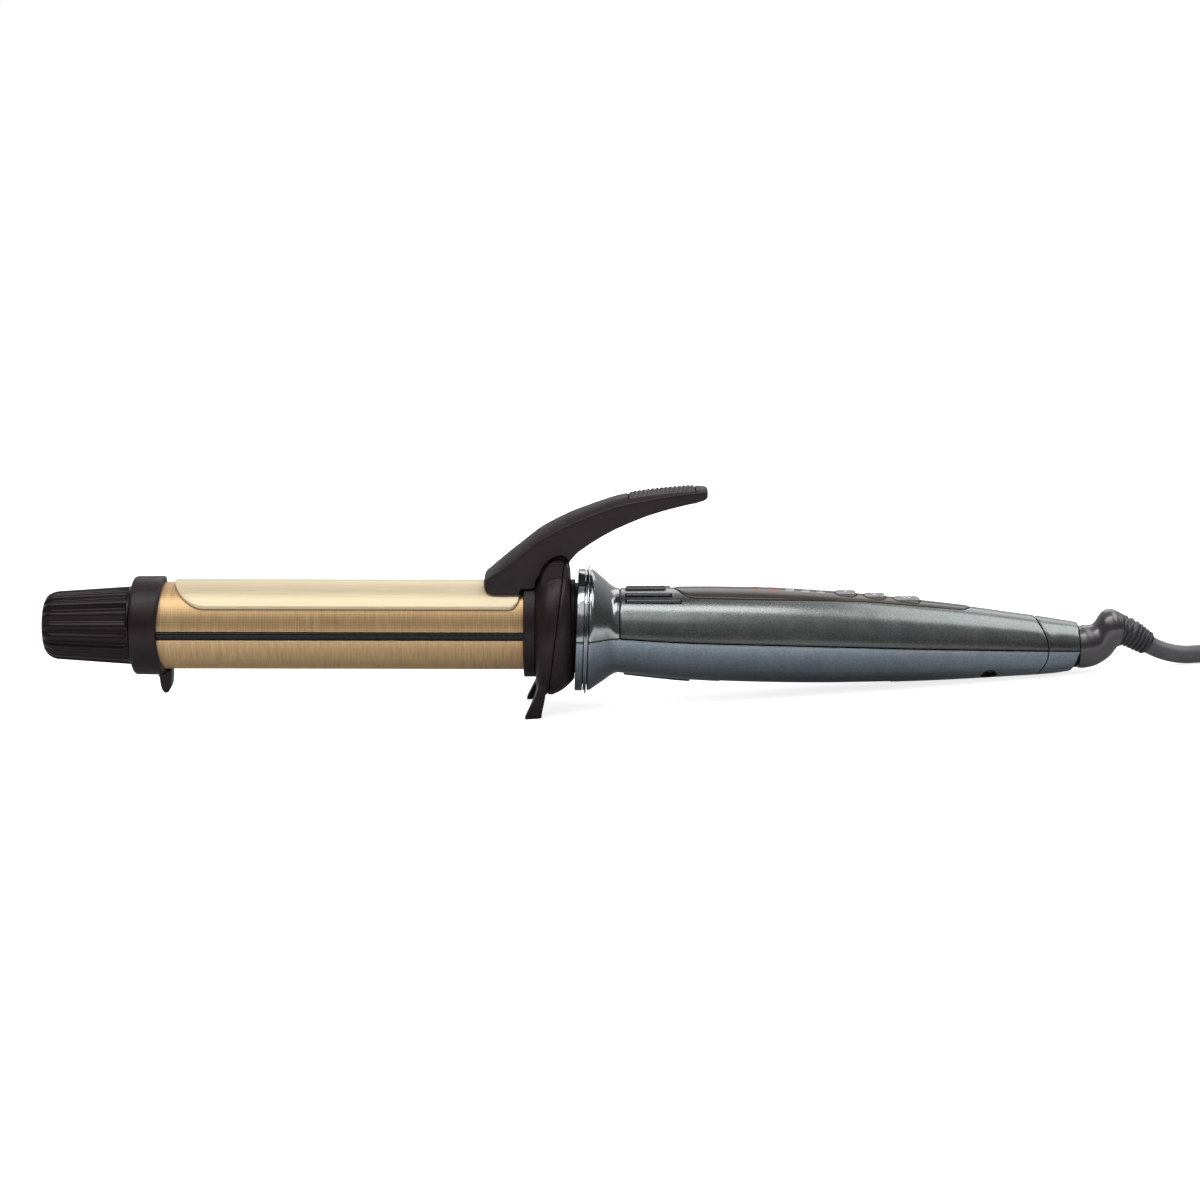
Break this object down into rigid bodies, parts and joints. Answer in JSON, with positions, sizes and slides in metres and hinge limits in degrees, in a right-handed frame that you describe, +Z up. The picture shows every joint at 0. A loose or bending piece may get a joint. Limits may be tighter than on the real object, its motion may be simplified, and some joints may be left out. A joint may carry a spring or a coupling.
{
  "type": "curling iron",
  "caption": "Clip-type curling iron on its stand feet: round heated barrel with sprung clip, fluted cool tip, slim handle with control panel, swivel tail and folded mains lead.",
  "frame": {"origin": "centre of the bottom of the iron (cord left out), on the surface that it lies on", "axes": "+X from the tip to the tail along the iron, +Y across it, +Z up"},
  "size_m": [0.5013, 0.0586, 0.0649],
  "materials": {
    "barrel_gold": "ceramic-coated, satin",
    "clip_champagne": "ceramic-coated, satin gloss",
    "plastic_dark": "fine matt",
    "plastic_gloss": "polished",
    "shell_gunmetal": "metallic lacquer",
    "shell_bluegrey": "pearl lacquer",
    "rubber_dark": "moulded",
    "cord_grey": "vinyl sheath",
    "steel": "plain",
    "aluminium": "as extruded",
    "brass": "plain",
    "ceramic": "fired ceramic",
    "board": "solder resist",
    "button_metal": "metallised"
  },
  "bodies": {
    "iron": {"tip_cap": "plastic_gloss", "tip_collar": "plastic_dark", "tip_insulator": "ceramic", "tip_screw": "steel", "barrel_tube": "barrel_gold", "inlay_strip_near": "plastic_gloss", "inlay_strip_far": "plastic_gloss", "heat_spreader_upper": "aluminium", "heat_spreader_lower": "aluminium", "ptc_heater": "ceramic", "thermistor": "plastic_gloss", "base_collar": "plastic_dark", "stand_housing": "plastic_dark", "rear_housing": "plastic_dark", "pivot_pin": "steel", "torsion_spring": "steel", "neck_ring": "plastic_gloss", "trim_ring": "steel", "bell_upper": "shell_gunmetal", "handle_upper": "shell_gunmetal", "handle_lower": "shell_bluegrey", "control_panel": "plastic_gloss", "grip_insert_upper": "plastic_gloss", "grip_insert_lower": "plastic_gloss", "rating_plate": "plastic_gloss", "case_screw_near": "steel", "case_screw_far": "steel", "circuit_board": "board", "switch_minus": "plastic_gloss", "switch_plus": "plastic_gloss", "switch_power": "plastic_gloss", "indicator_block": "ceramic", "power_triac": "plastic_gloss", "capacitor": "ceramic", "heater_lead_near": "rubber_dark", "heater_lead_far": "rubber_dark", "mains_wire_near": "rubber_dark", "mains_wire_far": "rubber_dark", "rear_sleeve": "shell_gunmetal", "brush_block": "ceramic", "cord_lead": "cord_grey", "cord_hank": "cord_grey", "cord_tail": "cord_grey", "cord_tie": "rubber_dark", "plug_body": "rubber_dark", "plug_blade_left": "brass", "plug_blade_right": "brass"},
    "clip": {"clip_plate": "clip_champagne", "clip_rivet_front": "steel", "clip_rivet_rear": "steel", "clip_lever": "plastic_dark", "thumb_pad": "rubber_dark"},
    "button_minus_body": {"button_minus": "button_metal"},
    "button_plus_body": {"button_plus": "button_metal"},
    "button_power_body": {"button_power": "button_metal"},
    "swivel_tail": {"swivel_elbow": "plastic_gloss", "strain_relief": "rubber_dark", "swivel_retainer": "steel", "slip_ring": "brass"}
  },
  "joints": [
    {"name": "clip_hinge", "type": "hinge", "parent": "iron", "child": "clip", "pos_m": [-0.01141, 0, 0.04403], "axis": [0, 1, 0], "range_deg": [0, 26], "stiffness_Nm_per_rad": 0.15, "springref_deg": -20.05, "deforming": ["torsion_spring"]},
    {"name": "button_minus_press", "type": "slide", "parent": "iron", "child": "button_minus_body", "axis": [-0.0716, 0, -0.9974], "range_m": [0, 0.0008], "stiffness_N_per_m": 400},
    {"name": "button_plus_press", "type": "slide", "parent": "iron", "child": "button_plus_body", "axis": [-0.0716, 0, -0.9974], "range_m": [0, 0.0008], "stiffness_N_per_m": 400},
    {"name": "button_power_press", "type": "slide", "parent": "iron", "child": "button_power_body", "axis": [-0.0716, 0, -0.9974], "range_m": [0, 0.0008], "stiffness_N_per_m": 400},
    {"name": "cord_swivel", "type": "hinge", "parent": "iron", "child": "swivel_tail", "pos_m": [0.14327, 0, 0.00747], "axis": [0.9974, 0, -0.0716], "continuous": true, "deforming": ["cord_lead"]}
  ]
}
